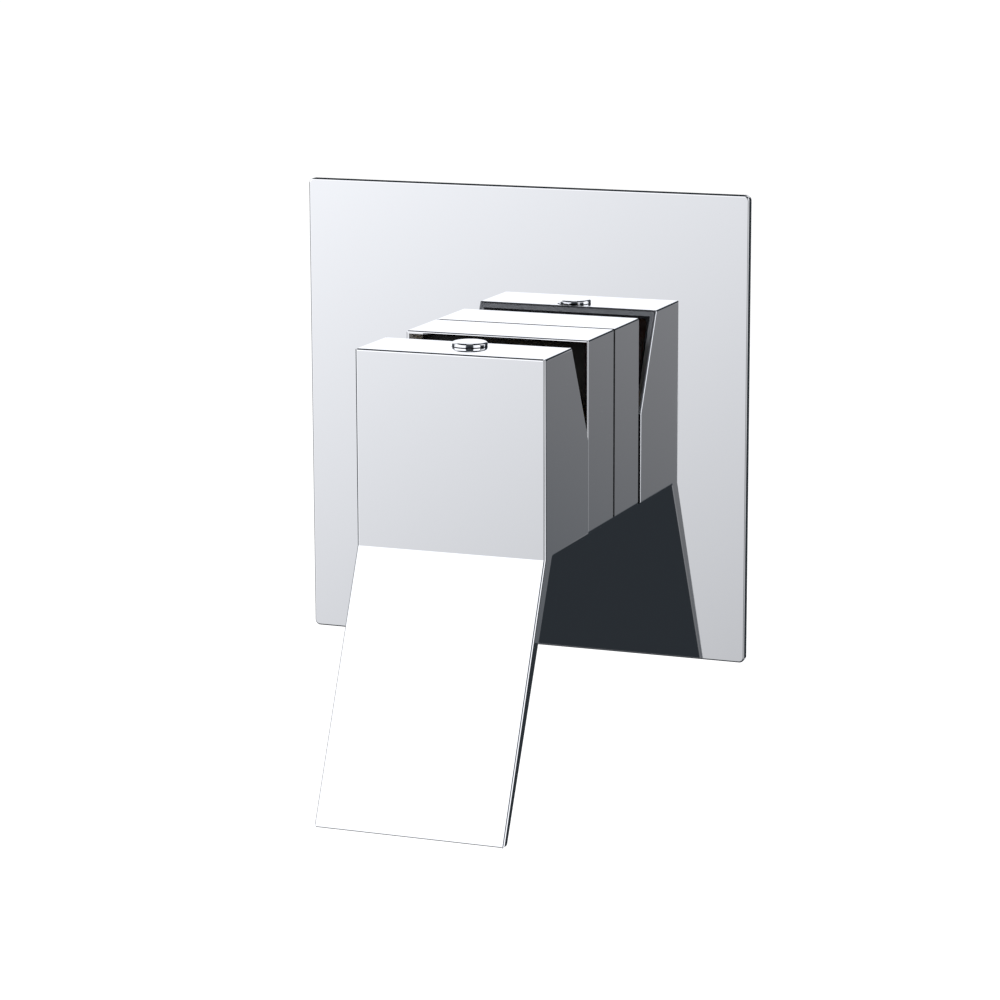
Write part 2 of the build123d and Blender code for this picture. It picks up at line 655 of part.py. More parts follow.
def cartridge_base():
    """Base with the three ports, its clips, and the two pegs that find their holes in the body."""
    body = disc(CARTRIDGE_DIAMETER, FLOOR, HOUSING_REAR)
    body += disc(HOUSING_BORE - 2 * BASE_CLEARANCE, HOUSING_REAR, FIXED_REAR)
    for x in (-PEG_PITCH / 2, PEG_PITCH / 2):
        body += slab(Pos(x, 0) * Circle(PEG_DIAMETER / 2), FLOOR - PEG_LENGTH, FLOOR)
    clip_middle = (HOUSING_BORE + CLIP_DEPTH) / 2 - OVERCUT
    clip = Rectangle(CLIP_DEPTH + 2 * OVERCUT, CLIP_WIDTH)
    for place in PolarLocations(clip_middle, CLIP_COUNT, start_angle=45):
        body += slab(place * clip, CLIP_REAR, CLIP_REAR + CLIP_HEIGHT)
    for outer, inner in zip(water_ports(SEAL_WIDTH), water_ports()):
        body -= slab(outer, FIXED_REAR - SEAL_DEPTH, FIXED_REAR)
        body -= slab(inner, FLOOR, FIXED_REAR)
    for x, z in port_centres():
        body -= slab(Pos(x, z) * Circle(PORT_SEAL_RADIUS), FLOOR, FLOOR + SEAL_DEPTH)
    return body


def port_seals():
    """Three rubber rings under the base, one round each water way."""
    seals = Part()
    for x, z in port_centres():
        ring = Circle(PORT_SEAL_RADIUS) - Circle(PORT_RADIUS)
        seals += slab(Pos(x, z) * ring, FLOOR, FLOOR + SEAL_DEPTH)
    return seals


def cartridge_housing():
    """Moulded shell of the cartridge: barrel, shoulder web, neck, clip windows and stop window."""
    outer = turned([
        (0, HOUSING_REAR),
        (CARTRIDGE_DIAMETER / 2, HOUSING_REAR),
        (CARTRIDGE_DIAMETER / 2, SHOULDER),
        (HOUSING_NECK / 2, SHOULDER),
        (HOUSING_NECK / 2, HOUSING_FRONT),
        (0, HOUSING_FRONT),
    ])
    body = outer - disc(HOUSING_BORE, HOUSING_REAR, GLIDE_FRONT)
    body -= disc(ROTOR_DIAMETER + 2 * ROTOR_CLEARANCE, GLIDE_FRONT, HOUSING_FRONT)
    window = limit_tab(2 * TURN_ANGLE + TAB_ANGLE + TAB_CLEARANCE, OVERCUT)
    body -= slab(window, ROTOR_FRONT - TAB_CLEARANCE, HOUSING_FRONT)
    gap = BASE_CLEARANCE
    opening = Rectangle(2 * (HOUSING_WALL + OVERCUT), CLIP_WIDTH + 2 * gap)
    for place in PolarLocations(CARTRIDGE_DIAMETER / 2, CLIP_COUNT, start_angle=45):
        body -= slab(place * opening, CLIP_REAR - gap, CLIP_REAR + CLIP_HEIGHT + gap)
    return body


def retaining_nut():
    """Nut that screws into the valve neck and presses the cartridge down by its shoulder."""
    skirt = disc(NUT_THREAD - 2 * NUT_CLEARANCE, SHOULDER, NECK_FRONT)
    nut = skirt + hexagon(outward(NECK_FRONT), NUT_HEX, NUT_HEIGHT)
    return nut - disc(HOUSING_NECK + 2 * NUT_BORE_CLEARANCE, SHOULDER, NECK_FRONT + NUT_HEIGHT)


def pipe_port(plane, span, inner_end):
    """One threaded pipe boss along a plane's normal: the solid to add and the hollow to cut."""
    boss = extrude(plane * Circle(PIPE_BOSS / 2), span - PIPE_HEX_LENGTH)
    boss += hexagon(plane.offset(span - PIPE_HEX_LENGTH), PIPE_WALL_HEX, PIPE_HEX_LENGTH)
    bore = extrude(plane.offset(span) * Circle(PIPE_THREAD_RADIUS), -PIPE_THREAD_DEPTH)
    way_length = span - PIPE_THREAD_DEPTH - inner_end
    bore += extrude(plane.offset(inner_end) * Circle(PASSAGE_RADIUS), way_length)
    return boss, bore


def valve_body():
    """Brass body in the wall: cartridge chamber, three pipe ports and the water ways between."""
    step = FLOOR + BODY_STEP
    body = turned([
        (0, BODY_BACK),
        (BODY_DIAMETER / 2 - BODY_EDGE, BODY_BACK),
        (BODY_DIAMETER / 2, BODY_BACK + BODY_EDGE),
        (BODY_DIAMETER / 2, step),
        (NECK_DIAMETER / 2, step + (BODY_DIAMETER - NECK_DIAMETER) / 2),
        (NECK_DIAMETER / 2, NECK_FRONT),
        (0, NECK_FRONT),
    ])
    hot, cold, outlet = port_centres()
    hollow = Part()
    for side in (-1, 1):
        plane = Plane(origin=(0, -PIPE_REACH, hot[1]), x_dir=(0, 1, 0), z_dir=(side, 0, 0))
        boss, bore = pipe_port(plane, PIPE_SPAN, PASSAGE_WALL)
        body += boss
        hollow += bore
    rise = Plane(origin=(0, -PIPE_REACH, 0), x_dir=(1, 0, 0), z_dir=(0, 0, 1))
    boss, bore = pipe_port(rise, PIPE_OUTLET_RISE, hot[1] + PASSAGE_RADIUS + PASSAGE_WALL)
    body += boss
    hollow += bore
    screw_hole = BRACKET_SCREW / 2 + BRACKET_SCREW_CLEARANCE
    for x, z in bracket_screw_places():
        body -= slab(Pos(x, z) * Circle(screw_hole), BODY_BACK, BODY_BACK + BRACKET_SCREW_DEPTH)
    body -= disc(2 * BORE_RADIUS, FLOOR, NECK_FRONT)
    body -= disc(NUT_THREAD, SHOULDER - SOCKET_SPARE, NECK_FRONT)
    for x, z in (hot, cold, outlet):
        hollow += slab(Pos(x, z) * Circle(PORT_RADIUS), PIPE_REACH, FLOOR)
    for x in (-PEG_PITCH / 2, PEG_PITCH / 2):
        peg_hole = Pos(x, 0) * Circle(PEG_DIAMETER / 2 + BASE_CLEARANCE)
        hollow += slab(peg_hole, FLOOR - PEG_LENGTH - BASE_CLEARANCE, FLOOR)
    return body - hollow


def bracket_screw_places():
    """The two screw positions on the body's back, as (x, z)."""
    half = BRACKET_SCREW_PITCH / 2
    return [(-half, -BRACKET_SCREW_DROP), (half, -BRACKET_SCREW_DROP)]


def fixing_bracket():
    """Pressed steel bracket on the body's back: two lugs on a folded bar, and a tongue up the body."""
    rear = BODY_BACK - BRACKET_THICKNESS
    bar = Pos(0, -LUG_DROP) * SlotOverall(LUG_SPACING + LUG_WIDTH, LUG_WIDTH)
    tongue = Pos(0, BRACKET_RISE / 2 - LUG_DROP) * Rectangle(BRACKET_TONGUE, BRACKET_RISE)
    outline = fillet((bar + tongue).vertices().group_by(Axis.Y)[-1], BRACKET_CORNER)
    for x in (-LUG_SPACING / 2, LUG_SPACING / 2):
        outline -= Pos(x, -LUG_DROP) * Circle(LUG_HOLE_RADIUS)
    for x, z in bracket_screw_places():
        outline -= Pos(x, z) * Circle(BRACKET_SCREW / 2 + BRACKET_SCREW_CLEARANCE)
    fold_height = -LUG_DROP - LUG_WIDTH / 2 + BRACKET_THICKNESS / 2
    fold = Pos(0, fold_height) * Rectangle(LUG_SPACING - LUG_WIDTH, BRACKET_THICKNESS)
    return slab(outline, rear, BODY_BACK) + slab(fold, rear, rear + BRACKET_FOLD + BRACKET_THICKNESS)


def bracket_screws():
    """Two pan-head screws that hold the bracket on the body."""
    rear = BODY_BACK - BRACKET_THICKNESS
    screws = Part()
    for x, z in bracket_screw_places():
        head_rear = rear - BRACKET_HEAD_HEIGHT
        head = slab(Pos(x, z) * Circle(BRACKET_HEAD / 2), head_rear, rear)
        rim = head.edges().filter_by(GeomType.CIRCLE).sort_by(Axis.Y)[-1]
        head = fillet(rim, BRACKET_HEAD_ROUND)
        head += slab(Pos(x, z) * Circle(BRACKET_SCREW / 2), rear, BODY_BACK + BRACKET_SCREW_DEPTH)
        key = Pos(x, z) * RegularPolygon(BRACKET_SCREW_KEY / 2, 6, major_radius=False)
        screws += head - slab(key, head_rear, head_rear + BRACKET_KEY_DEPTH)
    return screws


PIECES = [
    wall_plate, plate_gasket, collar_seal, square_collar, collar_insert, neck_o_ring,
    lever_handle, set_screw, screw_cap, stem, pivot_pin,
    rotor, glide_ring, hot_limit_ring, disc_carrier, moving_disc,
    fixed_disc, disc_seals, cartridge_base, port_seals, cartridge_housing,
    retaining_nut, valve_body, fixing_bracket, bracket_screws,
]

os.makedirs("parts", exist_ok=True)
for make in PIECES:
    shape = make()
    export_step(shape, f"parts/{make.__name__}.step")
    print(make.__name__, "solids", len(shape.solids()), "volume", round(shape.volume))
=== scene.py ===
# %% [markdown]
# # A concealed shower mixer in polished chrome
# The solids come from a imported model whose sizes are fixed. Blender gives them their finish, adds the small
# turned and cast detail that solids leave out, and sets up the studio. Everything is in metres. The wall is
# the plane y = 0, the person stands on the -Y side and Z is up.

# %% Load the fixed model
import math
import bmesh
import bpy
from mathutils import Matrix, Vector


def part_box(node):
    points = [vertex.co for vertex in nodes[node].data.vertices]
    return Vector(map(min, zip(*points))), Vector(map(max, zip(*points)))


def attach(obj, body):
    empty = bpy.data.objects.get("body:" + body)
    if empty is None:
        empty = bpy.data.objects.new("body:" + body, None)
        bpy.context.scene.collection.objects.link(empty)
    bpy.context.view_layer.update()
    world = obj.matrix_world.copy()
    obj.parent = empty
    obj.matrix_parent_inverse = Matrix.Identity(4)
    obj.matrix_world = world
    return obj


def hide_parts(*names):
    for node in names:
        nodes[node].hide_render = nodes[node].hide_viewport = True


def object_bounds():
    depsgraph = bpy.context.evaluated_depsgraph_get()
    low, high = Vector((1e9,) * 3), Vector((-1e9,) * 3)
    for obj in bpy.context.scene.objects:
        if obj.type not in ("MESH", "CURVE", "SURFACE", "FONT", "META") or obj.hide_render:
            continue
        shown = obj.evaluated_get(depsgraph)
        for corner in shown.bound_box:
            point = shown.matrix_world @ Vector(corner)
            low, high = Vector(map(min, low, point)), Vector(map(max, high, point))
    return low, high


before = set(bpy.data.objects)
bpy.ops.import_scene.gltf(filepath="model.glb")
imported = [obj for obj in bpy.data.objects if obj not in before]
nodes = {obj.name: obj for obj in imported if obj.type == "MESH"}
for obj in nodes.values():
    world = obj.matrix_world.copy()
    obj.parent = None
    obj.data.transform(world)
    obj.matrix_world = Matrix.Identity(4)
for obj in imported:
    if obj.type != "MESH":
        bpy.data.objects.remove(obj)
cad_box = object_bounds()
MM = 0.001

# %% [markdown]
# ## The camera
# The camera stands to the right of the mixer and a little above it, and looks slightly down. It was worked
# out from the straight edges of the plate and the block, so it is written as its place and the two
# directions that fix its turn. A long lens keeps the square forms nearly parallel.

# %% Place the camera
CAMERA_PLACE = Vector((308.34 * MM, -819.23 * MM, 160.47 * MM))
CAMERA_RIGHT = Vector((0.93316, 0.35943, -0.00331)).normalized()
CAMERA_BACK = Vector((0.35249, -0.91327, 0.20421)).normalized()
SENSOR_WIDTH = 36.0
FOCAL_PIXELS = 3430.9
IMAGE_WIDTH = 1000
CLIP_END = 100

camera_data = bpy.data.cameras.new("camera")
camera = bpy.data.objects.new("camera", camera_data)
bpy.context.scene.collection.objects.link(camera)
camera_up = CAMERA_BACK.cross(CAMERA_RIGHT).normalized()
turn = Matrix((camera_up.cross(CAMERA_BACK), camera_up, CAMERA_BACK)).transposed()
camera.matrix_world = Matrix.Translation(CAMERA_PLACE) @ turn.to_4x4()
camera_data.sensor_width = SENSOR_WIDTH
camera_data.lens = FOCAL_PIXELS / IMAGE_WIDTH * SENSOR_WIDTH
camera_data.clip_end = CLIP_END
bpy.context.scene.camera = camera
bpy.context.scene.view_settings.view_transform = "Standard"
print("lens", round(camera_data.lens, 1), "mm")

# %% [markdown]
# ## Shader maths as plain expressions
# A finish is a small calculation on every point of a surface: noise times a mask, plus a base value.
# Blender builds it from nodes. A small class wraps one socket, so that the calculation can be typed as an
# expression, and one method adds any other node. That keeps each finish a few readable lines.

# %% A socket that does arithmetic
class Wire:
    """One output socket of a node tree. Arithmetic on it adds Math nodes."""

    def __init__(self, tree, socket):
        self.tree = tree
        self.socket = socket

    def math(self, operation, *others):
        return node(self.tree, "ShaderNodeMath", {"operation": operation}, dict(enumerate((self, *others))))

    def __add__(self, other):
        return self.math("ADD", other)

    def __sub__(self, other):
        return self.math("SUBTRACT", other)

    def __rsub__(self, other):
        return node(self.tree, "ShaderNodeMath", {"operation": "SUBTRACT"}, {0: other, 1: self})

    def __mul__(self, other):
        return self.math("MULTIPLY", other)

    def __pow__(self, other):
        return self.math("POWER", other)

    def __gt__(self, other):
        return self.math("GREATER_THAN", other)

    def __lt__(self, other):
        return self.math("LESS_THAN", other)

    __radd__ = __add__
    __rmul__ = __mul__

    def size(self):
        return self.math("ABSOLUTE")

    def least(self, other):
        return self.math("MINIMUM", other)

    def most(self, other):
        return self.math("MAXIMUM", other)

    def clamp(self, low=0.0, high=1.0):
        return self.most(low).least(high)

    def step(self, start, end):
        """0 below start, 1 above end, and a soft rise between them."""
        return node(self.tree, "ShaderNodeMapRange", {"interpolation_type": "SMOOTHSTEP"},
                    {"Value": self, "From Min": start, "From Max": end})


def node(tree, kind, settings=None, inputs=None, out=0):
    """Adds a node with its settings and the values or wires of its sockets, and returns one output."""
    made = tree.nodes.new(kind)
    for name, value in (settings or {}).items():
        setattr(made, name, value)
    for name, value in (inputs or {}).items():
        if isinstance(value, Wire):
            tree.links.new(value.socket, made.inputs[name])
        else:
            made.inputs[name].default_value = value
    return Wire(tree, made.outputs[out])


def axes_of(tree, vector):
    """The x, y and z of a vector."""
    split = node(tree, "ShaderNodeSeparateXYZ", None, {0: vector})
    return [Wire(tree, out) for out in split.socket.node.outputs]


def blend_colour(tree, amount, low, high):
    """A colour between low and high."""
    return node(tree, "ShaderNodeMix", {"data_type": "RGBA"}, {0: amount, 6: low, 7: high}, out=2)


def grey(value):
    """A neutral colour of one linear value."""
    return (value, value, value, 1.0)


print("shader helpers ready")

# %% [markdown]
# ## The studio
# Chrome has no colour of its own: it shows the room. Product shots of chrome use a light card in front,
# which darkens towards the floor and towards the lens. A slot stays open above the lens, and dark cloth
# hangs over the card and behind, so that every rounded edge draws a dark line beside a white one. The world
# shader draws that tent for reflections only. A small white panel straight overhead and three more behind
# light the top and the brass body for someone who looks from there. What the camera sees past the mixer
# stays plain white.
#
# Each band below is its low end, its high end and the width of its soft edges. Each rise is where it starts
# and where it ends. They are in degrees, except BEHIND_DEPTH_RISE, which is a share of the way behind the
# mixer, and TINT_RISE, which is a brightness.

# %% The light tent
LENS_LEVEL = 0.45
LENS_AZIMUTH = 21.0
FRONT_ELEVATION = -10.0
RISE_PER_DEGREE = 0.0168
LEFT_RISE_PER_DEGREE = 0.0106
RIGHT_RISE_PER_DEGREE = 0.0085
CARD_TOP = 1.1
LENS_SLOT = 0.75
CLOTH = 0.205
BACK_PANEL = 0.85
DISPLAY_GAMMA = 2.2
SOFT_LIGHT = 0.82
CARD_TINT = (0.985, 1.0, 1.035, 1.0)
CLOTH_TINT = (0.84, 1.0, 1.17, 1.0)
TINT_RISE = (0.02, 0.2)
SLOT_SIDES = (-3, 45, 6)
SLOT_RISE = (-5, 3)
FLOOR_CLOTH_SIDES = (-62, -8, 8)
FLOOR_CLOTH_RISE = (-32, -24)
LOW_LEFT_SIDE_RISE = (-62, -50)
LOW_LEFT_TOP_RISE = (-2, 4)
BEHIND_DEPTH_RISE = (-0.02, 0.12)
BEHIND_TOP_RISE = (39, 43)
STRAIGHT_SIDE_RISE = (166, 171)
STRAIGHT_HEIGHTS = (-35, 42, 8)
CORNER_SIDES = (98, 140, 8)
CORNER_HEIGHTS = (14, 44, 8)
OVERHEAD_RISE = (76, 80)


def between(value, low, high, soft):
    """1 where a value is between low and high, with edges soft units wide."""
    return value.step(low - soft / 2, low + soft / 2) * (1 - value.step(high - soft / 2, high + soft / 2))


def build_world():
    """A white background for the camera, a light tent for reflections and even light for the rest."""
    world = bpy.data.worlds.new("studio")
    bpy.context.scene.world = world
    world.use_nodes = True
    tree = world.node_tree
    tree.nodes.clear()
    direction = node(tree, "ShaderNodeTexCoord", out="Generated")
    x, y, z = axes_of(tree, direction)
    azimuth = node(tree, "ShaderNodeMath", {"operation": "ARCTAN2"}, {0: x, 1: 0 - y}) * math.degrees(1)
    elevation = node(tree, "ShaderNodeMath", {"operation": "ARCSINE"}, {0: z}) * math.degrees(1)
    card = LENS_LEVEL + (elevation - FRONT_ELEVATION) * RISE_PER_DEGREE
    card = card + (LENS_AZIMUTH - azimuth).most(0) * LEFT_RISE_PER_DEGREE
    card = (card + (azimuth - LENS_AZIMUTH).most(0) * RIGHT_RISE_PER_DEGREE).clamp(CLOTH, CARD_TOP)
    slot = between(azimuth, *SLOT_SIDES) * elevation.step(*SLOT_RISE)
    floor_cloth = between(azimuth, *FLOOR_CLOTH_SIDES) * (1 - elevation.step(*FLOOR_CLOTH_RISE))
    card = (card * (1 - slot * LENS_SLOT)) * (1 - floor_cloth) + floor_cloth * CLOTH
    low_left = (1 - azimuth.step(*LOW_LEFT_SIDE_RISE)) * (1 - elevation.step(*LOW_LEFT_TOP_RISE))
    behind = y.step(*BEHIND_DEPTH_RISE).most(elevation.step(*BEHIND_TOP_RISE)).most(low_left)
    straight = azimuth.size().step(*STRAIGHT_SIDE_RISE) * between(elevation, *STRAIGHT_HEIGHTS)
    corners = between(azimuth.size(), *CORNER_SIDES) * between(elevation, *CORNER_HEIGHTS)
    panel = straight.most(corners).most(elevation.step(*OVERHEAD_RISE))
    back = CLOTH * (1 - panel) + BACK_PANEL * panel
    level = (card * (1 - behind) + back * behind) ** DISPLAY_GAMMA
    tint = blend_colour(tree, level.step(*TINT_RISE), CLOTH_TINT, CARD_TINT)
    path = node(tree, "ShaderNodeLightPath")
    rays = path.socket.node.outputs
    shiny = Wire(tree, rays["Is Glossy Ray"])
    seen = Wire(tree, rays["Is Camera Ray"])
    strength = shiny * level + (1 - shiny) * (seen + (1 - seen) * SOFT_LIGHT)
    colour = blend_colour(tree, shiny, grey(1.0), tint)
    background = node(tree, "ShaderNodeBackground", None, {"Color": colour, "Strength": strength})
    output = tree.nodes.new("ShaderNodeOutputWorld")
    tree.links.new(background.socket, output.inputs["Surface"])


build_world()
print("world ready")

# %% [markdown]
# ## Floor and lamps
# The floor is a plain pale sheet, well below the mixer because the mixer hangs on a wall. Two soft lamps,
# front left and back right, give the matt pieces some shape. They are hidden from reflections, where the
# tent does that work.

# %% The floor and two soft lamps
FLOOR_DROP = 0.36
FLOOR_SIZE = 40.0
FLOOR_COLOUR = (0.86, 0.86, 0.87, 1.0)
FLOOR_GLOW = 0.35
LAMPS = {"key": ((-0.9, -1.1, 1.2), 0.9, 9.0), "back": ((0.8, 1.2, 0.9), 0.8, 7.0)}


def build_floor():
    """A pale floor that reads as white to the camera and still takes a soft shadow."""
    bpy.ops.mesh.primitive_plane_add(size=FLOOR_SIZE, location=(0, 0, cad_box[0][2] - FLOOR_DROP))
    floor = bpy.context.object
    floor.name = "studio_floor"
    material = bpy.data.materials.new("studio_floor")
    material.use_nodes = True
    tree = material.node_tree
    tree.nodes.clear()
    paint = node(tree, "ShaderNodeBsdfDiffuse", None, {"Color": FLOOR_COLOUR})
    seen = Wire(tree, node(tree, "ShaderNodeLightPath").socket.node.outputs["Is Camera Ray"])
    glow = node(tree, "ShaderNodeEmission", None, {"Color": grey(1.0), "Strength": seen * FLOOR_GLOW})
    both = node(tree, "ShaderNodeAddShader", None, {0: paint, 1: glow})
    output = tree.nodes.new("ShaderNodeOutputMaterial")
    tree.links.new(both.socket, output.inputs["Surface"])
    floor.data.materials.append(material)
    floor.visible_glossy = False


def add_lamp(name, place, size, power):
    """A square soft lamp at a place, aimed at the origin."""
    data = bpy.data.lights.new(name, "AREA")
    data.size = size
    data.energy = power
    lamp = bpy.data.objects.new(name, data)
    bpy.context.scene.collection.objects.link(lamp)
    look = (-Vector(place)).to_track_quat("-Z", "Y")
    lamp.matrix_world = Matrix.Translation(place) @ look.to_matrix().to_4x4()
    lamp.visible_glossy = False


build_floor()
for name, (place, size, power) in LAMPS.items():
    add_lamp(name, place, size, power)
print("floor", round(cad_box[0][2] - FLOOR_DROP, 3))

# %% [markdown]
# ## Finishes
# Every finish starts from the Principled shader. What varies over the surface is a calculation on Object
# coordinates, which for these pieces are the real position in metres, so a grain of 0.2 mm is a noise scale
# of a few thousand.

# %% A base for every finish
def surface(name, settings):
    """A new material with a Principled shader; settings are its plain values by socket name."""
    material = bpy.data.materials.new(name)
    material.use_nodes = True
    tree = material.node_tree
    shader = tree.nodes["Principled BSDF"]
    for socket, value in settings.items():
        shader.inputs[socket].default_value = value
    return material, tree, shader


def point_of(tree):
    """The point being shaded, in metres."""
    return node(tree, "ShaderNodeTexCoord", out="Object")


def noise(tree, point, scale, detail=3.0, roughness=0.5):
    return node(tree, "ShaderNodeTexNoise", None,
                {"Vector": point, "Scale": scale, "Detail": detail, "Roughness": roughness})


def feed(tree, shader, socket, wire):
    tree.links.new(wire.socket, shader.inputs[socket])


def bump(tree, shader, height, depth):
    """Turns a height between 0 and 1 into a relief of the given depth in metres."""
    relief = node(tree, "ShaderNodeBump", None, {"Height": height, "Strength": 1.0, "Distance": depth})
    feed(tree, shader, "Normal", relief)


print("finish helpers ready")

# %% [markdown]
# ## Mirror chrome
# The plate, collar, lever and button are polished and chrome plated, so their reflections are sharp. Only a
# trace of haze varies over them. Plating doesn't reach well inside the handle, so the metal stays grey and
# dull there. The ground rear rim of the handle is darker than the outside. Painted shade makes the inner part
# of that rim and the flat strip of rear face below it nearly black, and paints a dark line at the button's
# foot, where it stands on the block. The inside of the collar has a pale satin skin.

# %% Chrome
CHROME_COLOUR = (0.93, 0.935, 0.95, 1.0)
DULL_COLOUR = (0.16, 0.165, 0.175, 1.0)
GROUND_COLOUR = (0.28, 0.285, 0.295, 1.0)
# Painted shade: the near black colour below is painted where shadow gaps fall, on the handle's rear face and
# at the button's foot.
PAINTED_SHADE_COLOUR = (0.02, 0.02, 0.022, 1.0)
COLLAR_WALL = 0.8 * MM
BLOCK_DEPTH = 31.5 * MM
BUTTON_HEIGHT = 1.1 * MM
PAINTED_SHADE_LINE = 0.14 * MM
WEDGE_DEPTH = 12.5 * MM
WEDGE_START_DROP = 0.8 * MM
REAR_FACE_DEPTH = 0.2 * MM
GROUND_WALL = 1.55 * MM
HOLLOW_WALL = 1.7 * MM
SATIN_COLOUR = (0.9, 0.905, 0.915, 1)
FOOT_ROUGHNESS = 0.4
HAZE_SCALE = 38.0
HAZE_DETAIL = 4.0
HAZE_RISE = (0.45, 0.8)
HAZE_ROUGHNESS = 0.018
MIRROR_ROUGHNESS = 0.012
GRAIN_SCALE = 2600.0


def haze_of(tree, point):
    """Slow, cloudy changes over a plated surface."""
    return noise(tree, point, HAZE_SCALE, HAZE_DETAIL)


def plated(haze):
    """The roughness of polished plating, with a trace of haze."""
    return haze.step(*HAZE_RISE) * HAZE_ROUGHNESS + MIRROR_ROUGHNESS


def chrome(name):
    material, tree, shader = surface(name, {"Metallic": 1.0, "Base Color": CHROME_COLOUR})
    feed(tree, shader, "Roughness", plated(haze_of(tree, point_of(tree))))
    return material


def handle_chrome():
    """Chrome outside, dull bare casting in the hollow, ground metal on the rear rim, and painted shade,
    nearly black, on the rim's inner band and on the flat rear strip below the wedge.
    """
    material, tree, shader = surface("handle_chrome", {"Metallic": 1.0})
    point = point_of(tree)
    x, y, z = axes_of(tree, point)
    _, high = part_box("lever_handle")
    floor = high.y - BLOCK_DEPTH + HOLLOW_WALL
    inside = (x.size() < high.x - HOLLOW_WALL) * (z.size() < high.z - HOLLOW_WALL) * (y > floor)
    height = z + WEDGE_START_DROP
    slope = high.y - height * (WEDGE_DEPTH / (high.z + WEDGE_START_DROP))
    rear = (y > slope - REAR_FACE_DEPTH) * (height > 0)
    wall_edge = (x.size() > high.x - GROUND_WALL).most(z > high.z - GROUND_WALL)
    rim = rear * wall_edge
    # Painted shade: this mask paints near black shade on the flat strip of rear face below the wedge, where a
    # shadow gap falls, and on the inner band of the rim, so that the wall reads thinner against the dark
    # hollow.
    skin = ((y > high.y - REAR_FACE_DEPTH) * (height < 0)).most(rear * (1 - wall_edge))
    bare = inside.most(rim).most(skin)
    haze = haze_of(tree, point)
    grain = noise(tree, point, GRAIN_SCALE, 2.0)
    dull = blend_colour(tree, rim, blend_colour(tree, skin, DULL_COLOUR, PAINTED_SHADE_COLOUR), GROUND_COLOUR)
    feed(tree, shader, "Base Color", blend_colour(tree, bare, CHROME_COLOUR, dull))
    feed(tree, shader, "Roughness", plated(haze) * (1 - bare) + (grain * 0.2 + 0.3) * bare)
    return material


def collar_chrome():
    """Chrome outside and a pale satin skin inside, where the polishing wheel doesn't reach."""
    material, tree, shader = surface("collar_chrome", {})
    point = point_of(tree)
    x, y, z = axes_of(tree, point)
    low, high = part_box("square_collar")
    inner = high.x - COLLAR_WALL / 2
    outside = (x.size().most(z.size()) > inner).most(y < low.y + COLLAR_WALL / 2)
    haze = haze_of(tree, point)
    feed(tree, shader, "Base Color", blend_colour(tree, outside, SATIN_COLOUR, CHROME_COLOUR))
    feed(tree, shader, "Metallic", outside)
    feed(tree, shader, "Roughness", plated(haze) * outside + (haze * 0.2 + 0.35) * (1 - outside))
    return material


def button_chrome():
    """Chrome with a dark line of painted shade at the foot, where the button stands on the block."""
    material, tree, shader = surface("button_chrome", {"Metallic": 1.0})
    point = point_of(tree)
    z = axes_of(tree, point)[2]
    _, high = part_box("screw_cap")
    # Painted shade: a near black band at the foot stands in for the shadow in the contact gap on the block.
    foot = z < high.z - BUTTON_HEIGHT + PAINTED_SHADE_LINE
    feed(tree, shader, "Base Color", blend_colour(tree, foot, CHROME_COLOUR, PAINTED_SHADE_COLOUR))
    feed(tree, shader, "Roughness", plated(haze_of(tree, point)) + foot * FOOT_ROUGHNESS)
    return material


CHROME = chrome("polished_chrome")
HANDLE = handle_chrome()
print("chrome ready")

# %% [markdown]
# ## Cast and machined brass
# The body is sand cast, so its skin is grainy and a little darker, and its threads, faces and bores are cut
# bright. A mask by position tells the two apart: the outer ends of the pipe bosses and the neck are turned.

# %% Brass
CAST_BRASS = (0.52, 0.36, 0.15, 1.0)
WARM_BRASS = (0.62, 0.45, 0.2, 1.0)
CUT_BRASS = (0.83, 0.66, 0.33, 1.0)
NUT_BRASS = (0.8, 0.64, 0.34, 1.0)
CUT_END = 1.2 * MM
NECK_START = -1 * MM
CAST_GRAIN = 900.0
CAST_PATCHES = 60.0
CAST_DEPTH = 0.12 * MM
TURNING_RINGS = 900.0
TURNING_DEPTH = 0.01 * MM


def body_brass():
    material, tree, shader = surface("body_brass", {"Metallic": 1.0})
    point = point_of(tree)
    x, y, z = axes_of(tree, point)
    _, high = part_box("valve_body")
    ends = (x.size() > high.x - CUT_END).most(z > high.z - CUT_END).most(y > high.y - CUT_END / 4)
    cut = ends.most(y < NECK_START)
    skin = noise(tree, point, CAST_GRAIN, 4.0, 0.6)
    patches = noise(tree, point, CAST_PATCHES)
    cast = blend_colour(tree, patches.step(0.3, 0.75), CAST_BRASS, WARM_BRASS)
    feed(tree, shader, "Base Color", blend_colour(tree, cut, cast, CUT_BRASS))
    feed(tree, shader, "Roughness", (skin * 0.25 + 0.32) * (1 - cut) + (patches * 0.1 + 0.2) * cut)
    bump(tree, shader, skin * (1 - cut), CAST_DEPTH)
    return material


def nut_brass():
    material, tree, shader = surface("nut_brass", {"Metallic": 1.0, "Base Color": NUT_BRASS})
    rings = node(tree, "ShaderNodeTexWave", {"wave_type": "RINGS", "rings_direction": "Y"},
                 {"Vector": point_of(tree), "Scale": TURNING_RINGS, "Distortion": 0.6})
    feed(tree, shader, "Roughness", rings * 0.12 + 0.22)
    bump(tree, shader, rings, TURNING_DEPTH)
    return material


BODY = body_brass()
NUT = nut_brass()
print("brass ready")

# %% [markdown]
# ## Plastics, rubber, foam, ceramic and steel
# Moulded plastic has a fine spark-eroded grain and a slight sheen. Foam is a field of small open cells.
# Lapped ceramic is smooth with a faint speckle. Drawn and pressed steel shows fine lines along its length.

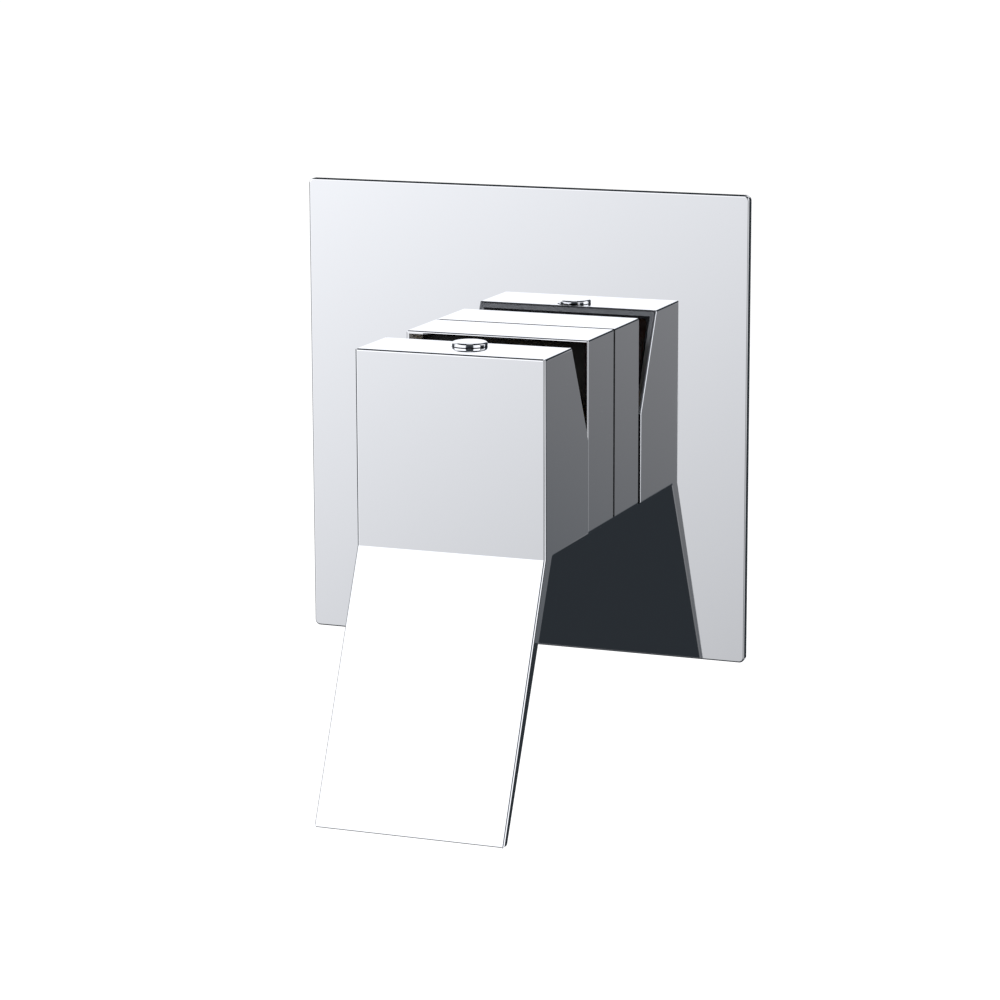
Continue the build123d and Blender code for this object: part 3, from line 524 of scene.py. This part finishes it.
# %% The other finishes
MOULD_GRAIN = 3200.0
RUBBER_GRAIN = 1500.0
MOULD_CLOUDS = 90.0
MOULD_DEPTH = 0.02 * MM
FOAM_CELLS = 1400.0
FOAM_DEPTH = 0.15 * MM
FOAM_DARK = (0.012, 0.012, 0.014, 1)
FOAM_LIGHT = (0.05, 0.05, 0.055, 1)
CERAMIC_SPECKS = 5200.0
CERAMIC_LIGHT = (0.86, 0.85, 0.82, 1)
CERAMIC_DARK = (0.78, 0.77, 0.74, 1)
LINE_SHADE = 0.82
LINE_DEPTH = 0.006 * MM


def moulded(name, colour, rough, grain_scale=MOULD_GRAIN):
    """Moulded plastic: a fine grain in the surface and slow changes in shine."""
    material, tree, shader = surface(name, {})
    point = point_of(tree)
    grain = noise(tree, point, grain_scale, 2.0)
    cloud = noise(tree, point, MOULD_CLOUDS)
    pale = tuple(min(1.0, c * 1.18 + 0.004) for c in colour)
    feed(tree, shader, "Base Color", blend_colour(tree, cloud.step(0.3, 0.8), (*colour, 1), (*pale, 1)))
    feed(tree, shader, "Roughness", cloud * 0.12 + rough)
    bump(tree, shader, grain, MOULD_DEPTH)
    return material


def foam():
    material, tree, shader = surface("foam", {"Specular IOR Level": 0.2})
    cells = node(tree, "ShaderNodeTexVoronoi", None, {"Vector": point_of(tree), "Scale": FOAM_CELLS})
    feed(tree, shader, "Base Color", blend_colour(tree, cells.clamp(), FOAM_DARK, FOAM_LIGHT))
    feed(tree, shader, "Roughness", cells * 0.1 + 0.82)
    bump(tree, shader, cells, FOAM_DEPTH)
    return material


def ceramic():
    material, tree, shader = surface("ceramic", {"Coat Weight": 0.2})
    speck = noise(tree, point_of(tree), CERAMIC_SPECKS, 2.0)
    feed(tree, shader, "Base Color", blend_colour(tree, speck.step(0.4, 0.7), CERAMIC_LIGHT, CERAMIC_DARK))
    feed(tree, shader, "Roughness", speck * 0.1 + 0.18)
    return material


def lined_steel(name, colour, stretch, rough, metallic=1.0):
    """Steel with fine drawn or rolled lines; stretch is high across the lines and low along them."""
    material, tree, shader = surface(name, {"Metallic": metallic})
    scaled = node(tree, "ShaderNodeVectorMath", {"operation": "MULTIPLY"}, {0: point_of(tree), 1: stretch})
    lines = noise(tree, scaled, 1.0)
    dark = tuple(c * LINE_SHADE for c in colour)
    feed(tree, shader, "Base Color", blend_colour(tree, lines, (*dark, 1), (*colour, 1)))
    feed(tree, shader, "Roughness", lines * 0.18 + rough)
    bump(tree, shader, lines, LINE_DEPTH)
    return material


FINISHES = {
    "plate_gasket": foam(),
    "collar_insert": moulded("black_plastic", (0.012, 0.012, 0.013), 0.42),
    "cartridge_housing": moulded("housing_plastic", (0.016, 0.016, 0.018), 0.38),
    "cartridge_base": moulded("grey_plastic", (0.24, 0.25, 0.26), 0.4),
    "rotor": moulded("white_plastic", (0.74, 0.74, 0.71), 0.32),
    "disc_carrier": moulded("carrier_plastic", (0.7, 0.7, 0.66), 0.34),
    "glide_ring": moulded("glide_plastic", (0.8, 0.8, 0.78), 0.22),
    "hot_limit_ring": moulded("red_plastic", (0.55, 0.025, 0.02), 0.3),
    "collar_seal": moulded("foot_rubber", (0.01, 0.01, 0.01), 0.6, RUBBER_GRAIN),
    "neck_o_ring": moulded("ring_rubber", (0.014, 0.014, 0.015), 0.55, RUBBER_GRAIN),
    "disc_seals": moulded("seal_rubber", (0.016, 0.016, 0.017), 0.5, RUBBER_GRAIN),
    "port_seals": moulded("port_rubber", (0.015, 0.015, 0.016), 0.52, RUBBER_GRAIN),
    "fixed_disc": ceramic(),
    "moving_disc": ceramic(),
    "set_screw": lined_steel("screw_steel", (0.34, 0.34, 0.36), (900.0, 900.0, 4000.0), 0.25),
    "pivot_pin": lined_steel("pin_steel", (0.62, 0.62, 0.64), (60.0, 5000.0, 5000.0), 0.16),
    "stem": lined_steel("cast_stem", (0.5, 0.5, 0.52), (1800.0, 1800.0, 1800.0), 0.3),
    "fixing_bracket": lined_steel("zinc_sheet", (0.6, 0.61, 0.64), (120.0, 3000.0, 3000.0), 0.34, 0.6),
    "bracket_screws": lined_steel("screw_zinc", (0.58, 0.59, 0.6), (2500.0, 900.0, 2500.0), 0.26, 0.75),
    "retaining_nut": NUT,
    "valve_body": BODY,
    "wall_plate": CHROME,
    "square_collar": collar_chrome(),
    "screw_cap": button_chrome(),
    "lever_handle": HANDLE,
}
for name, material in FINISHES.items():
    nodes[name].data.materials.clear()
    nodes[name].data.materials.append(material)
print("finished", len(FINISHES), "pieces; bare:", sorted(set(nodes) - set(FINISHES)))

# %% [markdown]
# ## Tools for new pieces
# Each new piece goes through the same last steps: its place is baked into its mesh, it gets its finish, and
# it rides on the body that carries it. A small section turned about an axis serves both threads and seams.

# %% Helpers for new pieces
def deselect():
    bpy.ops.object.select_all(action="DESELECT")


def pick(piece):
    """Makes a piece the only selected and the active one."""
    deselect()
    piece.select_set(True)
    bpy.context.view_layer.objects.active = piece


def apply_place(piece):
    """Bakes the piece's place and turn into its mesh, so that its object sits at the origin."""
    pick(piece)
    bpy.ops.object.transform_apply(location=True, rotation=True, scale=True)


def dress(piece, body, material):
    """Gives a finished piece its material and its body, and settles its place."""
    apply_place(piece)
    piece.data.materials.clear()
    piece.data.materials.append(material)
    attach(piece, body)


def turned_section(name, radius, width, inner, outer, angle, climb, steps):
    """A four-sided section at a radius, turned about Z by an angle while it climbs. Its points reach
    inner towards the axis and outer away from it."""
    deselect()
    bpy.ops.mesh.primitive_circle_add(vertices=4, radius=width / 2, rotation=(math.pi / 2, 0, 0))
    piece = bpy.context.object
    piece.name = name
    apply_place(piece)
    for corner in piece.data.vertices:
        side = corner.co.x / (width / 2)
        corner.co.x = radius + (side * outer if side > 0 else side * inner)
    screw = piece.modifiers.new("turn", "SCREW")
    screw.angle = angle
    screw.screw_offset = climb
    screw.steps = steps
    screw.render_steps = steps
    screw.use_smooth_shade = False
    pick(piece)
    bpy.ops.object.modifier_apply(modifier="turn")
    bpy.ops.object.mode_set(mode="EDIT")
    bpy.ops.mesh.select_all(action="SELECT")
    bpy.ops.mesh.fill_holes(sides=4)
    bpy.ops.mesh.select_all(action="SELECT")
    bpy.ops.mesh.normals_make_consistent(inside=False)
    bpy.ops.object.mode_set(mode="OBJECT")
    return piece


def copy_of(piece, name):
    """A copy with its own mesh."""
    twin = piece.copy()
    twin.data = piece.data.copy()
    twin.name = name
    bpy.context.scene.collection.objects.link(twin)
    return twin


print("piece helpers ready")

# %% [markdown]
# ## Easing the long edges
# A polishing wheel takes the sharpness off every edge of real chrome. Each rounded edge then shows the
# whole room within half a millimetre, as a dark line beside a white one. The solids have their upright
# edges rounded, but the long level edges of the handle are still sharp. A bevel modifier could find sharp
# edges by itself, but it would also round the screw hole and the hollow, so the edges are picked by place.
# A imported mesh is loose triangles, so the copy is merged first, and weighted normals then keep its large
# faces flat, as a mirror needs.

# %% Round the long edges of the handle
HANDLE_ROUND = 0.55 * MM
ROUND_STEPS = 6
CREASE = math.radians(21)
SHARP = math.radians(30)
FLAT = math.radians(0.2)
LONG_EDGE = 47 * MM
NEAR = 0.02 * MM


def is_sharp(edge):
    return len(edge.link_faces) == 2 and edge.calc_face_angle(0) > SHARP


def is_long_level_edge(edge):
    """A sharp edge that runs across the whole handle from left to right."""
    a, b = (corner.co for corner in edge.verts)
    return is_sharp(edge) and abs(a.x - b.x) > LONG_EDGE and abs(a.y - b.y) < NEAR and abs(a.z - b.z) < NEAR


def merged_copy(node_name):
    """A copy of a fixed piece with its loose triangles merged, left in edit mode with nothing selected."""
    piece = bpy.data.objects.new("eased_" + node_name, nodes[node_name].data.copy())
    bpy.context.scene.collection.objects.link(piece)
    pick(piece)
    bpy.ops.mesh.customdata_custom_splitnormals_clear()
    bpy.ops.object.mode_set(mode="EDIT")
    bpy.ops.mesh.select_mode(type="EDGE")
    bpy.ops.mesh.select_all(action="SELECT")
    bpy.ops.mesh.remove_doubles(threshold=NEAR / 10)
    bpy.ops.mesh.dissolve_limited(angle_limit=FLAT)
    bpy.ops.mesh.select_all(action="DESELECT")
    return piece


def settle(piece, node_name, body):
    """Smooths a copy's small faces, keeps its large ones flat, and lets it stand for the fixed piece."""
    bpy.ops.object.mode_set(mode="OBJECT")
    bpy.ops.object.shade_smooth_by_angle(angle=CREASE)
    even = piece.modifiers.new("even", "WEIGHTED_NORMAL")
    even.weight = 100
    even.keep_sharp = True
    bpy.ops.object.modifier_apply(modifier="even")
    dress(piece, body, FINISHES[node_name])
    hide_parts(node_name)


def ease_handle():
    """Rounds the long level edges on a copy of the handle."""
    piece = merged_copy("lever_handle")
    shape = bmesh.from_edit_mesh(piece.data)
    wanted = [edge for edge in shape.edges if is_long_level_edge(edge)]
    for edge in wanted:
        edge.select_set(True)
    bmesh.update_edit_mesh(piece.data)
    bpy.ops.mesh.bevel(offset=HANDLE_ROUND, segments=ROUND_STEPS, affect="EDGES", clamp_overlap=False)
    settle(piece, "lever_handle", "lever")
    print(piece.name, "rounded edges:", len(wanted), "faces:", len(piece.data.polygons))


ease_handle()

# %% [markdown]
# ## The button's soft rim
# The button over the set screw is turned and then tumbled, so its upper rim is rounder than a cut edge and
# shows as a broad dark ring. The solid has a small rounding there. It could be turned afresh, but the copy
# keeps the stem below, and growing the rounding about its own sharp corner leaves every other size alone.

# %% Grow the rounding of the button's rim
SOLID_ROUND = 0.35 * MM
SOFT_ROUND = 0.68 * MM


def soften_button():
    piece = merged_copy("screw_cap")
    low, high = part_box("screw_cap")
    middle = (low + high) / 2
    radius = (high.x - low.x) / 2
    grow = SOFT_ROUND / SOLID_ROUND
    moved = 0
    shape = bmesh.from_edit_mesh(piece.data)
    for corner in shape.verts:
        if corner.co.z > high.z - SOLID_ROUND - NEAR:
            out = Vector((corner.co.x - middle.x, corner.co.y - middle.y))
            reach = radius - (radius - out.length) * grow
            out = out.normalized() * reach
            corner.co = (middle.x + out.x, middle.y + out.y, high.z - (high.z - corner.co.z) * grow)
            moved += 1
    bmesh.update_edit_mesh(piece.data)
    settle(piece, "screw_cap", "lever")
    print(piece.name, "moved corners:", moved, "faces:", len(piece.data.polygons))


soften_button()

# %% [markdown]
# ## Threads in the pipe ports
# The solids carry each port as a plain bore at the thread's inner diameter, because a helix makes a solid
# heavy. The real ports are cut with a parallel pipe thread of 14 turns to the inch. Such a ridge could be
# swept along a spiral curve. Here a small four-sided section is turned by a Screw modifier, because the
# pitch is then one number and every turn is the same. The ridge's root lies just under the wall, so no gap
# shows.

# %% Cut one thread and copy it to the three ports
PORT_RADIUS = 9.316 * MM
THREAD_PITCH = 25.4 / 14 * MM
THREAD_HEIGHT = 0.34 * MM
THREAD_ROOT = 0.05 * MM
THREAD_TURNS = 7
THREAD_FILL = 0.82
STEPS_PER_TURN = 48
THREAD_START = 1.1 * MM
PORT_REACH = 24.4 * MM
INLET_HEIGHT = -5.374 * MM

body_low, body_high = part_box("valve_body")
thread_length = THREAD_PITCH * THREAD_TURNS
thread = turned_section("outlet_thread", PORT_RADIUS, THREAD_PITCH * THREAD_FILL, THREAD_HEIGHT, THREAD_ROOT,
                        math.tau * THREAD_TURNS, thread_length, STEPS_PER_TURN * THREAD_TURNS)
ports = {
    "hot_thread": ((body_low.x + THREAD_START + thread_length, PORT_REACH, INLET_HEIGHT), -math.pi / 2),
    "cold_thread": ((body_high.x - THREAD_START - thread_length, PORT_REACH, INLET_HEIGHT), math.pi / 2),
}
for name, (place, lean) in ports.items():
    ridge = copy_of(thread, name)
    ridge.location = place
    ridge.rotation_euler = (0, lean, 0)
    dress(ridge, "root", NUT)
thread.location = (0, PORT_REACH, body_high.z - THREAD_START - thread_length)
dress(thread, "root", NUT)
print("thread", len(thread.data.polygons), "faces, length", round(thread_length / MM, 2), "mm")

# %% [markdown]
# ## The casting seam
# Sand casting leaves a low seam where the two halves of the mould met. On this body they meet in the plane
# of the three pipes, so the seam runs round the barrel between the bosses. Three short arcs of the same
# turned section draw it, and their ends run into the bosses.

# %% Run the seam round the barrel
BARREL_RADIUS = 25.0 * MM
SEAM_WIDTH = 0.9 * MM
SEAM_HEIGHT = 0.28 * MM
SEAM_ARCS = {"seam_right": (14, 62), "seam_left": (118, 166), "seam_below": (223, 317)}

for name, (start, end) in SEAM_ARCS.items():
    span = math.radians(end - start)
    seam = turned_section(name, BARREL_RADIUS, SEAM_WIDTH, SEAM_HEIGHT, SEAM_HEIGHT, span, 0.0, end - start)
    seam.rotation_euler = (math.pi / 2, 0, 0)
    apply_place(seam)
    seam.rotation_euler = (0, -math.radians(start), 0)
    seam.location = (0, PORT_REACH, 0)
    dress(seam, "root", BODY)
    low = min(corner.co.z for corner in seam.data.vertices)
    high = max(corner.co.z for corner in seam.data.vertices)
    print(name, "z from", round(low / MM, 1), "to", round(high / MM, 1))

# %% [markdown]
# ## Paint dots at the inlets
# A fitter has to tell hot from cold before the wall is closed. Makers put a drop of red and of blue enamel
# on the inlet bosses. A drop is a low dome with a soft foot, so it starts as a sphere, is cut level, and is
# flattened.

# %% Drop the enamel
DOT_RADIUS = 1.9 * MM
DOT_HEIGHT = 0.45 * MM
FLAT_HEIGHT = 13.5 * MM
DOT_SINK = 0.05 * MM
DOT_INSET = 5.5 * MM
DOT_SEGMENTS = 32
DOT_RINGS = 24
DOT_CREASE = math.radians(40)
HOT_RED = (0.5, 0.02, 0.015)
COLD_BLUE = (0.02, 0.08, 0.42)
POOL_SCALE = 700.0
POOL_SHADE = 0.72
POOL_DEPTH = 0.04 * MM


def enamel(name, colour):
    """Brushed-on enamel: a glossy coat whose colour pools a little darker in places."""
    material, tree, shader = surface(name, {"Coat Weight": 0.6, "Coat Roughness": 0.08})
    pool = noise(tree, point_of(tree), POOL_SCALE)
    deep = tuple(c * POOL_SHADE for c in colour)
    feed(tree, shader, "Base Color", blend_colour(tree, pool.step(0.35, 0.7), (*colour, 1), (*deep, 1)))
    feed(tree, shader, "Roughness", pool * 0.15 + 0.22)
    bump(tree, shader, pool, POOL_DEPTH)
    return material


def paint_dot(name, x, colour):
    deselect()
    bpy.ops.mesh.primitive_uv_sphere_add(segments=DOT_SEGMENTS, ring_count=DOT_RINGS, radius=DOT_RADIUS)
    dot = bpy.context.object
    dot.name = name
    pick(dot)
    bpy.ops.object.mode_set(mode="EDIT")
    bpy.ops.mesh.select_all(action="SELECT")
    bpy.ops.mesh.bisect(plane_co=(0, 0, 0), plane_no=(0, 0, 1), clear_inner=True, use_fill=True)
    bpy.ops.mesh.select_all(action="SELECT")
    bpy.ops.transform.resize(value=(1, 1, DOT_HEIGHT / DOT_RADIUS), center_override=(0, 0, 0))
    bpy.ops.mesh.normals_make_consistent(inside=False)
    bpy.ops.object.mode_set(mode="OBJECT")
    bpy.ops.object.shade_smooth_by_angle(angle=DOT_CREASE)
    dot.location = (x, PORT_REACH, INLET_HEIGHT + FLAT_HEIGHT - DOT_SINK)
    dress(dot, "root", enamel(name + "_enamel", colour))
    print(name, len(dot.data.polygons), "faces")


paint_dot("hot_dot", body_low.x + DOT_INSET, HOT_RED)
paint_dot("cold_dot", body_high.x - DOT_INSET, COLD_BLUE)
